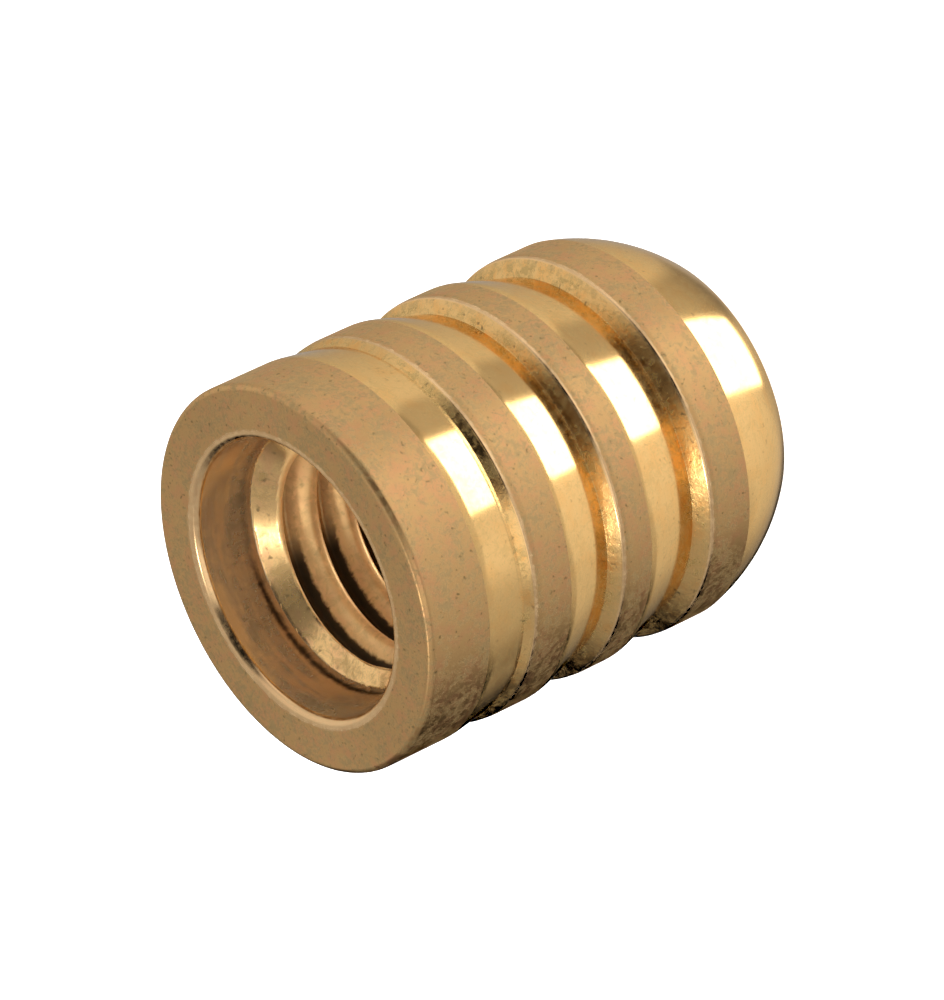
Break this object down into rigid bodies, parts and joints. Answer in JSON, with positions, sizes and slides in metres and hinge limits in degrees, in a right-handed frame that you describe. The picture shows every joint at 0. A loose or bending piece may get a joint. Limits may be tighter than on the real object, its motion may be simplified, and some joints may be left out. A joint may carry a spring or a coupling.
{
  "type": "threaded insert",
  "caption": "Short round brass press-in insert with barbed rings outside, a rounded nose and a threaded through bore with countersunk ends.",
  "frame": {"origin": "centre of the nose's end face, which the insert stands on", "axes": "+Z along the bore axis, out of the mouth that takes the screw"},
  "size_m": [0.009, 0.009, 0.0113],
  "materials": {
    "brass": "bright turned grooves, nose and bore; dull as-drawn lands and a matt sawn face"
  },
  "bodies": {
    "root": {"insert": "brass"}
  },
  "joints": []
}
